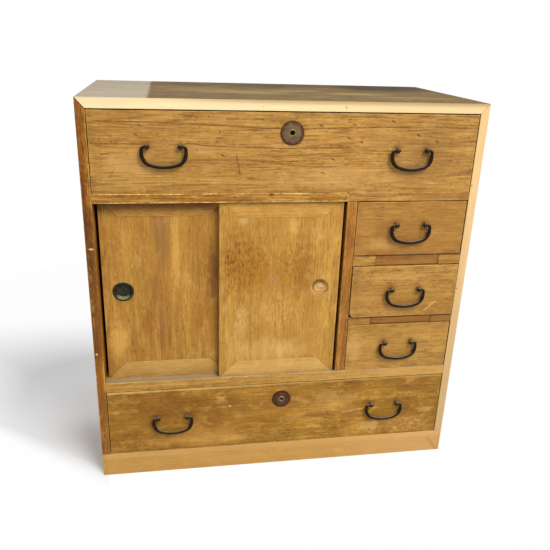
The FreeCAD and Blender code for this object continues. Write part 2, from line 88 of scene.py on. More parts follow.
# %% a bench for node trees
class Bench:
    """Places nodes in one tree and joins them."""

    def __init__(self, tree):
        self.tree = tree

    def put(self, socket, value):
        if isinstance(value, bpy.types.NodeSocket):
            self.tree.links.new(value, socket)
        else:
            socket.default_value = value

    def node(self, kind, settings=None, inputs=None):
        made = self.tree.nodes.new(kind)
        for name, value in (settings or {}).items():
            setattr(made, name, value)
        for name, value in (inputs or {}).items():
            self.put(made.inputs[name], value)
        return made

    def math(self, operation, a, b=0.0, clamp=False):
        made = self.node("ShaderNodeMath", {"operation": operation, "use_clamp": clamp}, {0: a, 1: b})
        return made.outputs[0]

    def product(self, first, *others):
        for other in others:
            first = self.math("MULTIPLY", first, other)
        return first

    def vector(self, operation, a, b=(0.0, 0.0, 0.0)):
        made = self.node("ShaderNodeVectorMath", {"operation": operation}, {0: a, 1: b})
        return made.outputs["Value" if operation in ("LENGTH", "DOT_PRODUCT", "DISTANCE") else "Vector"]

    def scaled(self, vector, factor):
        return self.node("ShaderNodeVectorMath", {"operation": "SCALE"}, {0: vector, "Scale": factor}).outputs[0]

    def parts(self, vector):
        return self.node("ShaderNodeSeparateXYZ", {}, {0: vector}).outputs

    def step(self, value, low, high, start=0.0, end=1.0):
        made = self.node("ShaderNodeMapRange", {"interpolation_type": "SMOOTHSTEP"},
                         {"Value": value, "From Min": low, "From Max": high, "To Min": start, "To Max": end})
        return made.outputs["Result"]

    def noise(self, place, scale, detail=2.0, roughness=0.5):
        return self.node("ShaderNodeTexNoise", {},
                         {"Vector": place, "Scale": scale, "Detail": detail, "Roughness": roughness}).outputs[0]

    def drawn_noise(self, place, stretch, detail=2.0, roughness=0.5):
        """Noise that is drawn out along one axis and squeezed along others."""
        return self.noise(self.vector("MULTIPLY", place, stretch), 1.0, detail, roughness)

    def mix(self, share, a, b):
        made = self.node("ShaderNodeMix", {"data_type": "RGBA"})
        for socket, value in ((made.inputs[0], share), (made.inputs[6], a), (made.inputs[7], b)):
            self.put(socket, value)
        return made.outputs[2]

    def lay(self, under, mask, amount, colour):
        """A colour laid over another where the mask says, never more than the amount."""
        return self.mix(self.product(mask, amount), under, colour)

    def coordinate(self, kind):
        return self.node("ShaderNodeTexCoord").outputs[kind]

    def facing(self, axis, low, high):
        return self.step(self.parts(self.coordinate("Normal"))[axis], low, high)

    def facing_front(self):
        return self.facing(1, -0.5, -0.8)

    def facing_up(self):
        return self.facing(2, 0.6, 0.9)

    def property(self, name):
        return self.node("ShaderNodeAttribute", {"attribute_type": "OBJECT", "attribute_name": name}).outputs

    def group(self, name, inputs=None):
        return self.node("ShaderNodeGroup", {"node_tree": bpy.data.node_groups[name]}, inputs).outputs


def start_group(name, inputs, outputs):
    """A new group. An input with a number is a value and one without is a vector; the outputs are values."""
    tree = bpy.data.node_groups.new(name, "ShaderNodeTree")
    for label, value in inputs.items():
        kind = "NodeSocketVector" if value is None else "NodeSocketFloat"
        socket = tree.interface.new_socket(label, in_out="INPUT", socket_type=kind)
        if value is not None:
            socket.default_value = value
    for label in outputs:
        tree.interface.new_socket(label, in_out="OUTPUT", socket_type="NodeSocketFloat")
    return Bench(tree), tree.nodes.new("NodeGroupInput").outputs, tree.nodes.new("NodeGroupOutput").inputs


def start_material(name):
    material = bpy.data.materials.new(name)
    material.use_nodes = True
    return material, Bench(material.node_tree), material.node_tree.nodes["Principled BSDF"]


def tone(red, green, blue):
    """A colour given on a 0 to 255 scale, as the linear values that shaders use."""
    shares = [value / 255 for value in (red, green, blue)]
    linear = [v / 12.92 if v <= 0.04045 else ((v + 0.055) / 1.055) ** 2.4 for v in shares]
    return (*linear, 1.0)


print("bench ready")

# %% [markdown]
# ## Growth lines
# A board is a flat cut through a log. If the texture is the log, with rings round an axis that runs along the
# grain, then faces show long lines and arches and ends show arcs, all from one recipe.
# Real years are wide and narrow by turns, so the radius is bent by noise before it is cut into years,
# most years stay faint, and every line is broken here and there.

# %% node group: growth lines
bench, given, result = start_group("growth lines", {"Place": None, "Spacing": 0.005}, ["Lines"])
wander_reach = 0.016
log_axis = (0.0, 0.052, 0.021)
drawn_out = bench.vector("MULTIPLY", given["Place"], (0.07, 1.0, 1.0))
wander = bench.node("ShaderNodeTexNoise", {}, {"Vector": drawn_out, "Scale": 15.0, "Detail": 2.0}).outputs["Color"]
drift = bench.scaled(bench.vector("SUBTRACT", wander, (0.5, 0.5, 0.5)), wander_reach)
log_place = bench.vector("ADD", bench.vector("MULTIPLY", drawn_out, (0.0, 1.0, 1.0)), drift)
radius = bench.vector("LENGTH", bench.vector("ADD", log_place, log_axis))
uneven = bench.product(bench.noise(drawn_out, 70.0, 3.0, 0.6), 3.2)
years = bench.math("ADD", bench.math("DIVIDE", radius, given["Spacing"]), uneven)
season = bench.math("FRACT", years)
late = bench.product(bench.step(season, 0.45, 0.92), bench.step(season, 0.92, 1.0, 1.0, 0.0))
year = bench.node("ShaderNodeTexWhiteNoise", {"noise_dimensions": "1D"}, {"W": bench.math("FLOOR", years)})
strength = bench.math("POWER", year.outputs["Value"], 1.6)
broken = bench.step(bench.drawn_noise(given["Place"], (7.0, 60.0, 60.0)), 0.36, 0.6, 0.2, 1.0)
bench.put(result["Lines"], bench.product(late, strength, broken))
print("growth lines:", len(bench.tree.nodes), "nodes")

# %% [markdown]
# ## Fibres
# Between the growth lines the wood shows its fibres: broad soft bands, streaks a few millimetres wide,
# dark and pale threads, flecks hardly longer than wide, short dark dashes where the vessels lie open,
# and hair lines that are felt more than seen. Each is noise squeezed across the grain.
# A few thin lines run on and on. They are the contours of a slow noise, as on a map, so they bend but never cross.

# %% node group: fibres
bench, given, result = start_group("fibres", {"Place": None}, [
    "Bands", "Streaks", "Dark Threads", "Pale Threads", "Dark Flecks", "Pale Flecks", "Dashes", "Hair Lines",
    "Long Lines"])


def squeezed(along, across, detail, roughness=0.5):
    return bench.drawn_noise(given["Place"], (along, across, across), detail, roughness)


threads = squeezed(22.0, 420.0, 2.0, 0.6)
flecks = squeezed(140.0, 330.0, 3.0, 0.65)
for name, noise, low, high in (
        ("Bands", squeezed(2.6, 62.0, 3.0, 0.6), 0.34, 0.66), ("Streaks", squeezed(13.0, 270.0, 3.0, 0.65), 0.36, 0.7),
        ("Dark Threads", threads, 0.51, 0.7), ("Pale Threads", threads, 0.48, 0.3),
        ("Dark Flecks", flecks, 0.55, 0.7), ("Pale Flecks", flecks, 0.45, 0.3),
        ("Hair Lines", squeezed(16.0, 1100.0, 2.0, 0.6), 0.3, 0.7)):
    bench.put(result[name], bench.step(noise, low, high))
crowd = bench.step(squeezed(5.0, 34.0, 2.0), 0.38, 0.62)
bench.put(result["Dashes"], bench.product(bench.step(squeezed(55.0, 520.0, 1.5), 0.56, 0.69), crowd))
contour = bench.math("SUBTRACT", bench.math("FRACT", bench.product(squeezed(2.2, 58.0, 1.5), 8.0)), 0.5)
kept = bench.step(squeezed(7.0, 30.0, 2.0), 0.45, 0.58)
bench.put(result["Long Lines"], bench.product(bench.step(bench.math("ABSOLUTE", contour), 0.17, 0.03), kept))
print("fibres:", len(bench.tree.nodes), "nodes")

# %% [markdown]
# ## Stains, worm holes and knocks
# Hands, smoke and damp leave clouds of stain, old oil leaves a reddish blush, and rubbing leaves pale scuffs.
# Beetles leave round holes about a millimetre wide, which come in clusters, and daily use leaves shallow dents
# that catch the light.

# %% node group: stains and holes
bench, given, result = start_group(
    "stains and holes", {"Place": None}, ["Clouds", "Blush", "Mottle", "Scuffs", "Holes", "Dents"])
for name, along, across, detail, roughness, low, high in (
        ("Clouds", 4.0, 10.0, 4.0, 0.6, 0.34, 0.66), ("Blush", 7.0, 24.0, 3.0, 0.55, 0.42, 0.64),
        ("Mottle", 22.0, 40.0, 5.0, 0.66, 0.4, 0.66), ("Scuffs", 30.0, 62.0, 5.0, 0.68, 0.5, 0.7)):
    cloud = bench.drawn_noise(given["Place"], (along, across, across), detail, roughness)
    bench.put(result[name], bench.step(cloud, low, high))
cells = bench.node("ShaderNodeTexVoronoi", {}, {"Vector": given["Place"], "Scale": 62.0, "Randomness": 1.0})
chance = bench.node("ShaderNodeSeparateColor", {}, {"Color": cells.outputs["Color"]}).outputs[0]
elsewhere = bench.vector("ADD", given["Place"], (0.0, 2.0, 5.0))
cluster = bench.step(bench.noise(elsewhere, 9.0, 1.0), 0.46, 0.6)
hole = bench.step(cells.outputs["Distance"], 0.05, 0.085, 1.0, 0.0)
chosen = bench.math("GREATER_THAN", bench.product(chance, cluster), 0.5)
bench.put(result["Holes"], bench.product(hole, chosen))
bench.put(result["Dents"], bench.step(bench.noise(given["Place"], 75.0, 2.0), 0.6, 0.78))
print("stains and holes:", len(bench.tree.nodes), "nodes")

# %% [markdown]
# ## Worn arrises
# Wood wears first along its arrises, the lines where two faces meet. A surface point lies on one face, so of its
# three distances to the sides of the board the smallest is nearly nothing, and the middle one is the way to the
# nearest arris. The board's size rides on each node as a property, so one group serves every board.
# The wear comes and goes along the arris, and a little further in lies a darker band: grime that a cloth does not
# reach, and a painted shade beside the gaps between parts.

# %% node group: worn arrises
bench, given, result = start_group("worn arrises", {"Place": None, "Reach": 0.003}, ["Wear", "Grime"])
share = bench.coordinate("Generated")
other_share = bench.vector("SUBTRACT", (1.0, 1.0, 1.0), share)
size = bench.property("board_size")["Vector"]
gap = bench.parts(bench.vector("MULTIPLY", bench.vector("MINIMUM", share, other_share), size))
lesser = bench.math("MINIMUM", gap[0], gap[1])
greater = bench.math("MAXIMUM", gap[0], gap[1])
to_arris = bench.math("MAXIMUM", lesser, bench.math("MINIMUM", greater, gap[2]))
ragged = bench.step(bench.noise(given["Place"], 110.0, 5.0, 0.7), 0.36, 0.7, 0.3, 1.3)
patchy = bench.step(bench.noise(given["Place"], 14.0, 2.0), 0.36, 0.62, 0.3, 1.0)
gone = bench.math("DIVIDE", to_arris, bench.product(given["Reach"], ragged))
nearness = bench.math("SUBTRACT", 1.0, gone, clamp=True)
bench.put(result["Wear"], bench.product(bench.step(nearness, 0.05, 0.65), patchy))
# a darker band in from the arris: grime, and a painted shade beside the gaps
dusty = bench.step(bench.noise(given["Place"], 32.0, 3.0, 0.6), 0.38, 0.66)
bench.put(result["Grime"], bench.product(bench.step(to_arris, 0.001, 0.016, 1.0, 0.0), dusty))
print("worn arrises:", len(bench.tree.nodes), "nodes")

# %% [markdown]
# ## Marks that are known by their place
# Some marks are plain enough to be known one by one. A scratch is the distance from a point to a short line,
# and a stain is the distance to a centre, measured in the stain's own half sizes and frayed by noise.
# Where a stain has sunk only into the open grain, it breaks up into flecks.
# Both are drawn on the front, so only the place across and the height count.

# %% node group: scratch
bench, given, result = start_group("scratch", {"Place": None, "Start": None, "End": None, "Width": 0.001}, ["Mark"])
flat_place = bench.vector("MULTIPLY", given["Place"], (1.0, 0.0, 1.0))
run = bench.vector("SUBTRACT", given["End"], given["Start"])
offset = bench.vector("SUBTRACT", flat_place, given["Start"])
run_squared = bench.vector("DOT_PRODUCT", run, run)
along = bench.math("DIVIDE", bench.vector("DOT_PRODUCT", offset, run), run_squared, clamp=True)
away = bench.vector("DISTANCE", offset, bench.scaled(run, along))
frayed = bench.step(bench.noise(given["Place"], 240.0, 2.0), 0.3, 0.6, 0.5, 1.0)
line = bench.math("SUBTRACT", 1.0, bench.math("DIVIDE", away, given["Width"]), clamp=True)
bench.put(result["Mark"], bench.product(bench.step(line, 0.0, 0.7), frayed))
print("scratch:", len(bench.tree.nodes), "nodes")

# %% node group: stain
bench, given, result = start_group(
    "stain", {"Place": None, "Centre": None, "Half Size": None, "Fray": 0.8, "Core": 0.35, "Fleck Grain": None},
    ["Mark", "Flecks"])
offset = bench.vector("MULTIPLY", bench.vector("SUBTRACT", given["Place"], given["Centre"]), (1.0, 0.0, 1.0))
reached = bench.vector("LENGTH", bench.vector("DIVIDE", offset, given["Half Size"]))
edge_noise = bench.math("SUBTRACT", bench.noise(given["Place"], 70.0, 5.0, 0.68), 0.5)
rough_edge = bench.product(edge_noise, given["Fray"], 3.0)
mark = bench.step(bench.math("ADD", reached, rough_edge), given["Core"], 1.1, 1.0, 0.0)
grain_spot = bench.vector("MULTIPLY", given["Place"], given["Fleck Grain"])
open_grain = bench.step(bench.noise(grain_spot, 1.0, 3.0, 0.65), 0.44, 0.68)
bench.put(result["Mark"], mark)
bench.put(result["Flecks"], bench.product(mark, open_grain))
print("stain:", len(bench.tree.nodes), "nodes")


# %% a coat that takes marks
class Coat:
    """The colour of one piece, on which marks are laid one after another."""

    def __init__(self, bench, place, colour):
        self.bench = bench
        self.place = place
        self.colour = colour

    def lay(self, mask, amount, *shades):
        self.colour = self.bench.lay(self.colour, mask, amount, tone(*shades))

    def scratches(self, *rows):
        """Each row: start across and up, end across and up, width, amount, tone."""
        for x, z, end_x, end_z, width, amount, *shades in rows:
            mark = self.bench.group("scratch", {"Place": self.place, "Start": (x, 0.0, z), "End": (end_x, 0.0, end_z),
                                                "Width": width})
            self.lay(mark["Mark"], amount, *shades)

    def stains(self, *rows, kind="Mark", **settings):
        """Each row: centre across and up, half width, half height, fray, amount, tone."""
        for x, z, half_width, half_height, fray, amount, *shades in rows:
            mark = self.bench.group("stain", {"Place": self.place, "Centre": (x, 0.0, z), "Fray": fray,
                                              "Half Size": (half_width, 1.0, half_height), **settings})
            self.lay(mark[kind], amount, *shades)

    def flecks(self, grain, *rows):
        self.stains(*rows, kind="Flecks", **{"Fleck Grain": grain})

    def axes(self):
        return self.bench.parts(self.place)

    def ragged_height(self, scale, amount):
        shake = self.bench.product(self.bench.noise(self.place, scale, 3.0), amount)
        return self.bench.math("ADD", self.axes()[2], shake)


print("coat ready")

# %% [markdown]
# ## An old board
# Every wooden piece takes this recipe with its own tones. The place is turned so that its first axis runs along
# the grain, and shifted by a number of the board's own, so no two boards are cut from the same spot of the log.
# Age then goes on in the order it came: growth, fibres, stain, wear along the arrises, marks, holes.

# %% the recipe of an old board
GRAIN_ORDER = {"X": (0, 1, 2), "Y": (1, 0, 2), "Z": (2, 1, 0)}
OIL_BLUSH = tone(180, 114, 48)
HOLE_DARK = tone(52, 30, 12)


def grain_place(bench, grain):
    """The place on the board with its first axis along the grain, and the plain place."""
    plain = bench.coordinate("Object")
    parts = bench.parts(plain)
    turned = bench.node("ShaderNodeCombineXYZ", {}, {i: parts[axis] for i, axis in enumerate(GRAIN_ORDER[grain])})
    return bench.vector("ADD", turned.outputs[0], bench.property("board_seed")["Vector"]), plain


def old_board(name, grain, tones, spacing=0.005, lines=0.35, bands=0.4, streaks=0.2, threads=0.25, flecks=0.3,
              long_lines=0.3, dashes=0.4, hairs=0.12, clouding=0.4, blushing=0.12, mottling=0.35, scuffing=0.25,
              wear=0.45, reach=0.0022, grime_and_shade=0.3, holes=0.8, roughness=0.6, edge=None, marks=None):
    material, bench, shader = start_material(name)
    shader.inputs["Specular IOR Level"].default_value = 0.25
    light, dark, stain, worn = (tone(*shades) for shades in tones)
    place, plain = grain_place(bench, grain)
    growth = bench.group("growth lines", {"Place": place, "Spacing": spacing})
    fibre = bench.group("fibres", {"Place": place})
    age = bench.group("stains and holes", {"Place": place})
    arris = bench.group("worn arrises", {"Place": place, "Reach": reach})

    body = light
    # the last layer darkens near the arrises: grime, and a painted shade beside the gaps between parts
    for mask, amount, colour in (
            (fibre["Bands"], bands, stain), (growth["Lines"], lines, dark), (fibre["Streaks"], streaks, stain),
            (fibre["Dark Threads"], threads, dark), (fibre["Pale Threads"], threads * 0.7, worn),
            (fibre["Dark Flecks"], flecks, dark), (fibre["Pale Flecks"], flecks * 0.8, worn),
            (fibre["Hair Lines"], hairs, dark), (fibre["Long Lines"], long_lines, dark),
            (age["Clouds"], clouding, stain), (age["Blush"], blushing, OIL_BLUSH), (age["Mottle"], mottling, stain),
            (age["Scuffs"], scuffing, worn), (fibre["Dashes"], dashes, dark), (arris["Grime"], grime_and_shade, dark)):
        body = bench.lay(body, mask, amount, colour)
    if edge:
        cut = bench.lay(tone(*edge["light"]), fibre["Bands"], edge["bands"], tone(*edge["dark"]))
        cut = bench.lay(cut, fibre["Streaks"], edge["streaks"], tone(*edge["dark"]))
        body = bench.mix(bench.facing_front(), body, cut)
    coat = Coat(bench, plain, bench.lay(body, arris["Wear"], wear, worn))
    if marks:
        marks(coat)
    pit = bench.product(age["Holes"], holes)
    bench.put(shader.inputs["Base Color"], bench.mix(pit, coat.colour, HOLE_DARK))

    gloss = bench.math("ADD", bench.product(growth["Lines"], -0.12), roughness)
    for mask in (arris["Wear"], age["Mottle"]):
        gloss = bench.math("ADD", gloss, bench.product(mask, 0.1))
    bench.put(shader.inputs["Roughness"], gloss)
    height = bench.product(growth["Lines"], 0.5)
    for mask, depth in ((fibre["Hair Lines"], 0.3), (fibre["Dashes"], -0.5), (age["Dents"], -0.7), (pit, -1.5),
                        (arris["Wear"], -0.4)):
        height = bench.math("ADD", height, bench.product(mask, depth))
    bump = bench.node("ShaderNodeBump", {}, {"Strength": 0.5, "Distance": 0.0006, "Height": height})
    bench.put(shader.inputs["Normal"], bump.outputs[0])
    return material


print("old board recipe ready")

# %% [markdown]
# ## Marks of this chest
# Each set of marks is a short list of places, in metres across and up, read off the photograph.
# On the top the second number is the depth. All other sets are drawn on the front.
# Rust creeps into the wood around the split pins, and dirt and a painted shadow gather around the lock plates.

# %% rust, dirt and painted shadow around the fittings
openings = {opening["name"]: opening["box_m"] for opening in frame["record"]["physics"]["openings"]}
post_reach = 0.0235
post_rise = 0.0035
dirt_and_shadow_reach = 0.0008


def post_rust(coat, drawer):
    for name, (low, high) in openings.items():
        if name.startswith(drawer) and name.endswith("finger_gap"):
            middle = (low[0] + high[0]) / 2
            for post in (middle - post_reach, middle + post_reach):
                coat.stains((post, high[2] + post_rise, 0.0095, 0.0085, 0.4, 0.45, 122, 80, 42))


def lock_place(drawer):
    low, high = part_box(drawer + "_lock_plate")
    return (low + high) / 2, (high.z - low.z) / 2


def lock_dirt_and_shadow(coat, drawer):
    """Dirt and a painted shadow around the plate, most of them below it."""
    centre, radius = lock_place(drawer)
    reach = radius + dirt_and_shadow_reach
    # a dark ring of dirt and painted shadow, shifted down and to the right
    coat.stains((centre.x + 0.0006, centre.z - 0.0010, reach, reach, 0.06, 0.75, 62, 32, 9), Core=0.88)


print("lock plates", [round(lock_place(drawer)[1], 4) for drawer in ("top_drawer", "bottom_drawer")], "m in radius")

# %% the top drawer
top_drawer_lines = [
    [(-0.2806, 0.5938), (-0.2094, 0.5930), (-0.1379, 0.5911), (-0.0428, 0.5862), (0.0186, 0.5857), (0.0861, 0.5881),
     (0.1788, 0.5902)],
    [(-0.1524, 0.5641), (-0.1241, 0.5607), (-0.0518, 0.5583), (-0.0148, 0.5570), (0.0301, 0.5579), (0.0884, 0.5595)],
    [(-0.0956, 0.5989), (-0.0431, 0.5987)], [(-0.2855, 0.5633), (-0.2175, 0.5626)],
    [(-0.0612, 0.5382), (0.0104, 0.5383)], [(-0.0045, 0.5330), (0.0061, 0.5320)],
    [(-0.2730, 0.5484), (-0.2621, 0.5484)], [(0.0575, 0.5625), (0.0775, 0.5608)]]
top_drawer_nicks = [
    (-0.1007, 0.5465), (-0.2172, 0.5886), (-0.2242, 0.5759), (0.0432, 0.5905), (0.0495, 0.5210), (0.0632, 0.5421),
    (0.0864, 0.5728), (0.0934, 0.5922), (0.1054, 0.5669), (0.1528, 0.5978), (0.1943, 0.5777), (0.2244, 0.5688)]


def top_drawer_marks(coat):
    # the darker clouds towards the right make that end of the drawer darker as a whole
    coat.stains(
        (-0.235, 0.535, 0.045, 0.03, 0.5, 0.35, 206, 160, 92), (-0.135, 0.556, 0.022, 0.009, 0.5, 0.4, 196, 146, 92),
        (0.22, 0.56, 0.075, 0.054, 0.5, 0.4, 138, 94, 46), (0.205, 0.52, 0.065, 0.024, 0.6, 0.48, 142, 98, 48),
        (0.138, 0.57, 0.036, 0.018, 0.5, 0.38, 146, 102, 52), (0.075, 0.515, 0.12, 0.02, 0.6, 0.3, 208, 162, 96))
    coat.scratches(
        (-0.0812, 0.5477, -0.0756, 0.5189, 0.0013, 0.75, 92, 54, 20),
        (-0.2537, 0.5294, -0.263, 0.5135, 0.0011, 0.55, 120, 78, 34),
        (0.03, 0.556, 0.168, 0.5468, 0.001, 0.45, 112, 66, 28))
    for x, z in top_drawer_nicks:
        coat.scratches((x - 0.0022, z + 0.0009, x + 0.0022, z - 0.0009, 0.0016, 0.9, 74, 40, 14))
    for line in top_drawer_lines:
        coat.scratches(*((*start, *end, 0.0014, 0.75, 96, 54, 20) for start, end in zip(line, line[1:])))
    post_rust(coat, "top_drawer")
    lock_dirt_and_shadow(coat, "top_drawer")


print("top drawer:", len(top_drawer_lines), "long lines and", len(top_drawer_nicks), "nicks")

# %% the other drawers
LEVEL_FLECKS = (150.0, 420.0, 420.0)


def bottom_drawer_marks(coat):
    """The upper edge has a pale lip, stronger to the left."""
    bench = coat.bench
    lip = bench.step(coat.ragged_height(60.0, 0.004), 0.1588, 0.1604)
    coat.lay(bench.product(lip, bench.step(coat.axes()[0], 0.02, -0.2, 0.4, 1.0)), 0.55, 222, 182, 108)
    coat.stains(
        (0.163, 0.062, 0.024, 0.014, 1.0, 0.5, 206, 164, 104), (0.09, 0.122, 0.06, 0.022, 0.9, 0.35, 198, 152, 82),
        (-0.2, 0.1, 0.11, 0.055, 0.8, 0.3, 136, 84, 8), (-0.193, 0.132, 0.09, 0.03, 0.8, 0.45, 128, 78, 8),
        (-0.061, 0.102, 0.095, 0.028, 0.8, 0.35, 136, 88, 20), (-0.12, 0.062, 0.08, 0.02, 0.8, 0.35, 194, 146, 74),
        (0.226, 0.092, 0.011, 0.018, 0.9, 0.5, 104, 58, 22))
    coat.flecks(
        LEVEL_FLECKS,
        (-0.251, 0.063, 0.04, 0.026, 0.8, 0.7, 104, 68, 26), (0.25, 0.125, 0.06, 0.034, 0.9, 0.6, 100, 62, 22),
        (0.002, 0.054, 0.04, 0.016, 0.8, 0.7, 104, 66, 24), (-0.16, 0.125, 0.11, 0.03, 0.8, 0.5, 98, 56, 6),
        (0.11, 0.085, 0.06, 0.03, 0.9, 0.5, 112, 74, 30), (0.23, 0.06, 0.05, 0.02, 0.9, 0.5, 214, 174, 110))
    coat.scratches(
        (0.1123, 0.0952, 0.1504, 0.1006, 0.0022, 0.5, 220, 180, 116),
        (-0.0886, 0.1228, -0.087, 0.1218, 0.0018, 0.8, 232, 206, 150))
    post_rust(coat, "bottom_drawer")
    lock_dirt_and_shadow(coat, "bottom_drawer")


def upper_drawer_marks(coat):
    coat.stains((0.156, 0.43, 0.016, 0.014, 0.5, 0.4, 132, 84, 34),
                (0.15, 0.405, 0.036, 0.011, 0.6, 0.35, 200, 154, 86))
    post_rust(coat, "upper_small_drawer")


def middle_drawer_marks(coat):
    coat.stains((0.128, 0.336, 0.022, 0.012, 0.5, 0.3, 150, 104, 50), (0.19, 0.35, 0.05, 0.01, 0.5, 0.3, 208, 162, 92))
    coat.scratches(
        (0.2556, 0.3044, 0.2381, 0.2885, 0.0015, 0.6, 226, 188, 122),
        (0.1138, 0.3573, 0.1441, 0.3564, 0.0009, 0.6, 112, 70, 30),
        (0.1402, 0.3617, 0.141, 0.353, 0.0009, 0.5, 112, 70, 30))
    post_rust(coat, "middle_small_drawer")


def lower_drawer_marks(coat):
    coat.stains(
        (0.1963, 0.2435, 0.013, 0.008, 0.5, 0.5, 150, 106, 30), (0.1514, 0.2579, 0.011, 0.009, 0.5, 0.4, 158, 112, 34),
        (0.1605, 0.209, 0.01, 0.009, 0.5, 0.35, 156, 108, 38), (0.1196, 0.2223, 0.018, 0.034, 0.5, 0.35, 214, 168, 98),
        (0.26, 0.22, 0.014, 0.03, 0.8, 0.3, 150, 102, 42))
    post_rust(coat, "lower_small_drawer")


print("marks for the other four drawers ready")

# %% the doors
UPRIGHT_FLECKS = (420.0, 420.0, 130.0)
recess_low, recess_high = openings["right_door_pull_recess"]
recess = ((recess_low[0] + recess_high[0]) / 2, (recess_low[2] + recess_high[2]) / 2)
recess_lit = (recess[0] + 0.0018, recess[1] - 0.0036)
head_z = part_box("door_head_rail")[0].z


def shade_under_head(coat, depth, amount):
    """A painted shade on the doors under the head rail, where the rail's shadow falls."""
    ragged = coat.ragged_height(90.0, 0.006)
    coat.lay(coat.bench.step(ragged, head_z - depth, head_z + 0.003), amount, 84, 40, 0)


def left_door_marks(coat):
    # painted shade under the head rail
    shade_under_head(coat, 0.026, 0.9)
    coat.stains(
        (-0.1925, 0.415, 0.015, 0.056, 0.35, 0.5, 138, 96, 54), (-0.2037, 0.337, 0.01, 0.036, 0.5, 0.5, 140, 90, 36),
        (-0.1712, 0.395, 0.0075, 0.074, 0.35, 0.5, 206, 162, 80), (-0.1143, 0.36, 0.0095, 0.06, 0.6, 0.65, 112, 64, 24),
        (-0.2184, 0.277, 0.013, 0.036, 0.6, 0.65, 144, 88, 22), (-0.1969, 0.261, 0.006, 0.058, 0.4, 0.6, 132, 84, 44),
        (-0.1855, 0.245, 0.0028, 0.022, 0.4, 0.5, 128, 80, 28), (-0.14, 0.29, 0.01, 0.04, 0.6, 0.35, 148, 94, 30),
        (-0.245, 0.4, 0.01, 0.05, 0.5, 0.3, 200, 152, 66), (-0.2644, 0.247, 0.019, 0.036, 0.5, 0.6, 214, 168, 82))
    coat.flecks(
        UPRIGHT_FLECKS,
        (-0.13, 0.33, 0.026, 0.08, 0.6, 0.45, 122, 74, 24), (-0.205, 0.3, 0.03, 0.06, 0.6, 0.5, 124, 76, 24),
        (-0.24, 0.4, 0.036, 0.07, 0.6, 0.25, 216, 170, 86), (-0.25, 0.225, 0.014, 0.008, 0.8, 0.6, 118, 72, 26))


def right_door_marks(coat):
    """Old stains, a painted shade under the head rail, and at the right the recess that has lost its cup: a pale worn
    ring, a crescent of painted shadow at the top left, and a rough, lit floor.
    """
    # painted shade under the head rail
    shade_under_head(coat, 0.006, 0.3)
    coat.stains(
        (-0.066, 0.368, 0.046, 0.064, 0.8, 0.55, 156, 98, 4), (-0.002, 0.352, 0.05, 0.06, 0.8, 0.4, 158, 102, 14),
        (0.026, 0.372, 0.02, 0.056, 0.6, 0.45, 144, 90, 20), (-0.085, 0.41, 0.016, 0.05, 0.7, 0.4, 150, 94, 22),
        (0.04, 0.3, 0.02, 0.05, 0.7, 0.3, 156, 104, 34), (0.01, 0.252, 0.017, 0.017, 0.5, 0.35, 164, 116, 48),
        (0.01, 0.437, 0.01, 0.015, 0.5, 0.4, 218, 174, 98), (-0.07, 0.451, 0.008, 0.014, 0.7, 0.45, 208, 172, 106),
        (-0.022, 0.352, 0.01, 0.01, 0.6, 0.35, 176, 134, 96), (-0.067, 0.305, 0.008, 0.009, 0.6, 0.3, 176, 136, 98),
        (-0.072, 0.275, 0.016, 0.036, 0.6, 0.4, 214, 172, 100), (-0.004, 0.221, 0.008, 0.012, 0.5, 0.35, 222, 182, 110),
        (-0.02, 0.225, 0.08, 0.026, 0.6, 0.3, 218, 178, 108))
    coat.flecks(
        UPRIGHT_FLECKS,
        (-0.068, 0.38, 0.036, 0.066, 0.6, 0.8, 104, 58, 4), (-0.09, 0.372, 0.008, 0.048, 0.5, 0.75, 96, 52, 4),
        (0.012, 0.366, 0.044, 0.06, 0.7, 0.6, 112, 66, 10), (-0.06, 0.29, 0.04, 0.05, 0.7, 0.45, 122, 76, 22),
        (-0.01, 0.3, 0.06, 0.05, 0.7, 0.4, 222, 178, 98))
    coat.scratches((-0.0568, 0.3192, -0.0548, 0.2107, 0.0014, 0.4, 140, 92, 38))
    # a pale worn ring, then a dark disc with an offset disc of the lit floor over it: the crescent left at the top left
    # is painted shadow
    coat.stains(
        (*recess, 0.0146, 0.0146, 0.08, 0.6, 228, 192, 124), (*recess, 0.012, 0.012, 0.03, 0.9, 110, 74, 14), Core=0.85)
    coat.stains((*recess_lit, 0.0108, 0.01, 0.08, 0.95, 188, 144, 78), Core=0.8)
    coat.flecks((520.0, 400.0, 400.0), (*recess_lit, 0.012, 0.011, 0.3, 0.7, 136, 92, 34))
    coat.flecks((260.0, 300.0, 520.0), (*recess_lit, 0.012, 0.01, 0.3, 0.9, 232, 198, 140))


def cap_tones(coat):
    """The lower strips are pale from rubbing, and the upper ones as dark as the doors, with the same painted shade
    under the head rail.
    """
    bench = coat.bench
    across, _, height = coat.axes()
    coat.lay(bench.step(height, 0.32, 0.3), 0.28, 222, 184, 116)
    left_door = bench.step(across, -0.1, -0.12)
    coat.lay(left_door, 0.12, 150, 102, 34)
    unshaded = coat.colour
    # the upper strips take the painted shade under the head rail
    shade_under_head(coat, 0.022, 0.95)
    left_shaded, coat.colour = coat.colour, unshaded
    shade_under_head(coat, 0.008, 0.4)
    coat.colour = bench.mix(left_door, coat.colour, left_shaded)


print("head rail", round(head_z, 4), "m up, recess at", [round(v, 4) for v in recess])


# %% the rails, the shelf and the base
def head_rail_marks(coat):
    coat.stains((-0.0279, 0.489, 0.0062, 0.004, 0.15, 0.8, 112, 62, 22),
                (-0.0279, 0.489, 0.0026, 0.0018, 0.1, 0.6, 76, 40, 14))


